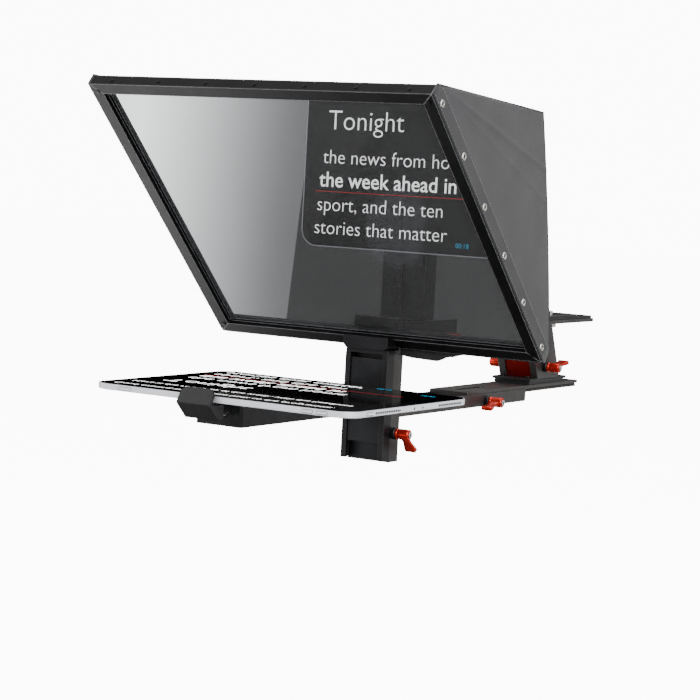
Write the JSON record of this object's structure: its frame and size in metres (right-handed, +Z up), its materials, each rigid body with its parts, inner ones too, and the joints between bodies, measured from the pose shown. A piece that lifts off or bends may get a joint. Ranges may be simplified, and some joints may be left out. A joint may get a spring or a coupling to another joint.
{
  "type": "camera teleprompter",
  "caption": "Beam-splitter teleprompter: folding glass frame with cloth hood, column with sliding tablet tray, and a sliding rail and riser for the camera.",
  "frame": {"origin": "mouth of the 3/8 inch tripod thread, under the middle of the base rail", "axes": "+X to the reader's right, +Y back towards the camera, +Z up"},
  "size_m": [0.3786, 0.7657, 0.3658],
  "materials": {
    "black_anodised": "bead-blasted, black anodised",
    "black_plastic": "moulded, matte",
    "red_anodised": "satin, red anodised",
    "bright_steel": "turned",
    "black_steel": "black oxide",
    "rubber": "matte",
    "splitter_glass": "half-silvered, coated",
    "hood_cloth": "coated, stiffened cloth",
    "silver_aluminium": "fine bead-blasted",
    "screen_glass": "polished cover glass over a dark display"
  },
  "bodies": {
    "base": {"base_rail": "black_anodised", "column_front": "black_anodised", "column_rear": "black_anodised", "column_end_cap": "black_plastic", "column_bolts": "black_steel", "column_head": "black_anodised", "hinge_pin": "bright_steel", "lever_collars": "black_anodised"},
    "glass_frame": {"frame_bottom": "black_anodised", "frame_top": "black_anodised", "frame_right": "black_anodised", "frame_left": "black_anodised", "frame_corner_keys": "bright_steel", "frame_screws": "black_steel", "glass_gasket": "rubber", "beam_splitter_glass": "splitter_glass", "glass_retainer": "black_anodised", "frame_foot": "black_anodised", "hood_side_right": "hood_cloth", "hood_side_left": "hood_cloth", "hood_top": "hood_cloth", "hood_rear": "hood_cloth", "lens_sleeve": "hood_cloth", "hood_bottom_flap": "hood_cloth", "hood_snaps": "bright_steel"},
    "slide_plate": {"slide_plate": "black_anodised", "riser_flange": "black_anodised", "riser_bolts": "black_steel", "riser_cheek_right": "black_anodised", "riser_cheek_left": "black_anodised"},
    "riser": {"riser_core": "red_anodised", "camera_platform": "black_anodised", "platform_screws": "black_steel", "riser_lever_collars": "black_anodised"},
    "camera_plate": {"camera_plate": "black_anodised", "camera_plate_pads": "rubber"},
    "camera_screw": {"camera_screw": "bright_steel"},
    "base_lever": {"base_lever": "red_anodised", "base_lever_screw": "bright_steel"},
    "column_lever": {"column_lever": "red_anodised", "column_lever_screw": "bright_steel"},
    "riser_lever_right": {"riser_lever_right": "red_anodised", "riser_lever_right_screw": "bright_steel"},
    "riser_lever_left": {"riser_lever_left": "red_anodised", "riser_lever_left_screw": "bright_steel"},
    "tray": {"tray_slider": "black_anodised", "tray_arm": "black_anodised", "tray_bolts": "black_steel", "tray_pads": "rubber", "clip_springs": "bright_steel"},
    "clip": {"clip_jaw": "black_anodised", "clip_pad": "rubber", "clip_rods": "bright_steel"},
    "rear_stop": {"rear_stop": "black_anodised"},
    "rear_stop_knob": {"rear_stop_knob": "black_plastic"},
    "tablet": {"tablet_shell": "silver_aluminium", "tablet_screen": "screen_glass"},
    "power_button": {"power_button": "silver_aluminium"},
    "volume_up_button": {"volume_up_button": "silver_aluminium"},
    "volume_down_button": {"volume_down_button": "silver_aluminium"}
  },
  "joints": [
    {"name": "frame_fold", "type": "hinge", "parent": "base", "child": "glass_frame", "pos_m": [0, -0.143, 0.0745], "axis": [-1, 0, 0], "range_deg": [0, 90]},
    {"name": "plate_slide", "type": "slide", "parent": "base", "child": "slide_plate", "axis": [0, 1, 0], "range_m": [-0.12, 0.03]},
    {"name": "riser_lift", "type": "slide", "parent": "slide_plate", "child": "riser", "axis": [0, -0.3907, 0.9205], "range_m": [0, 0.028]},
    {"name": "camera_plate_slide", "type": "slide", "parent": "riser", "child": "camera_plate", "axis": [0, 1, 0], "range_m": [-0.025, 0.025]},
    {"name": "camera_screw_turn", "type": "hinge", "parent": "camera_plate", "child": "camera_screw", "pos_m": [0, 0.235, 0.084], "axis": [0, 0, 1], "continuous": true},
    {"name": "base_lever_turn", "type": "hinge", "parent": "base", "child": "base_lever", "pos_m": [0.024, 0.045, 0.0055], "axis": [-1, 0, 0], "range_deg": [0, 90]},
    {"name": "column_lever_turn", "type": "hinge", "parent": "base", "child": "column_lever", "pos_m": [0.0245, -0.152, -0.015], "axis": [1, 0, 0], "range_deg": [0, 90]},
    {"name": "riser_lever_right_turn", "type": "hinge", "parent": "riser", "child": "riser_lever_right", "pos_m": [0.024, 0.18, 0.0365], "axis": [1, 0, 0], "range_deg": [0, 90]},
    {"name": "riser_lever_left_turn", "type": "hinge", "parent": "riser", "child": "riser_lever_left", "pos_m": [-0.024, 0.18, 0.0365], "axis": [-1, 0, 0], "range_deg": [0, 90]},
    {"name": "tray_height", "type": "slide", "parent": "base", "child": "tray", "axis": [0, 0, 1], "range_m": [-0.076, 0]},
    {"name": "clip_pull", "type": "slide", "parent": "tray", "child": "clip", "axis": [0, -1, 0], "range_m": [0, 0.015], "stiffness_N_per_m": 500, "springref_m": -0.01, "deforming": ["clip_springs"]},
    {"name": "rear_stop_slide", "type": "slide", "parent": "tray", "child": "rear_stop", "axis": [0, 1, 0], "range_m": [0, 0.054]},
    {"name": "rear_stop_knob_turn", "type": "hinge", "parent": "rear_stop", "child": "rear_stop_knob", "pos_m": [0, -0.2325, 0], "axis": [0, 0, 1], "continuous": true},
    {"name": "tablet_slide_out", "type": "slide", "parent": "tray", "child": "tablet", "axis": [1, 0, 0], "range_m": [-0.018, 0.15]},
    {"name": "power_button_press", "type": "slide", "parent": "tablet", "child": "power_button", "axis": [-1, 0, 0], "range_m": [0, 0.0004], "stiffness_N_per_m": 200, "springref_m": -0.002},
    {"name": "volume_up_press", "type": "slide", "parent": "tablet", "child": "volume_up_button", "axis": [0, 1, 0], "range_m": [0, 0.0004], "stiffness_N_per_m": 200, "springref_m": -0.002},
    {"name": "volume_down_press", "type": "slide", "parent": "tablet", "child": "volume_down_button", "axis": [0, 1, 0], "range_m": [0, 0.0004], "stiffness_N_per_m": 200, "springref_m": -0.002}
  ]
}
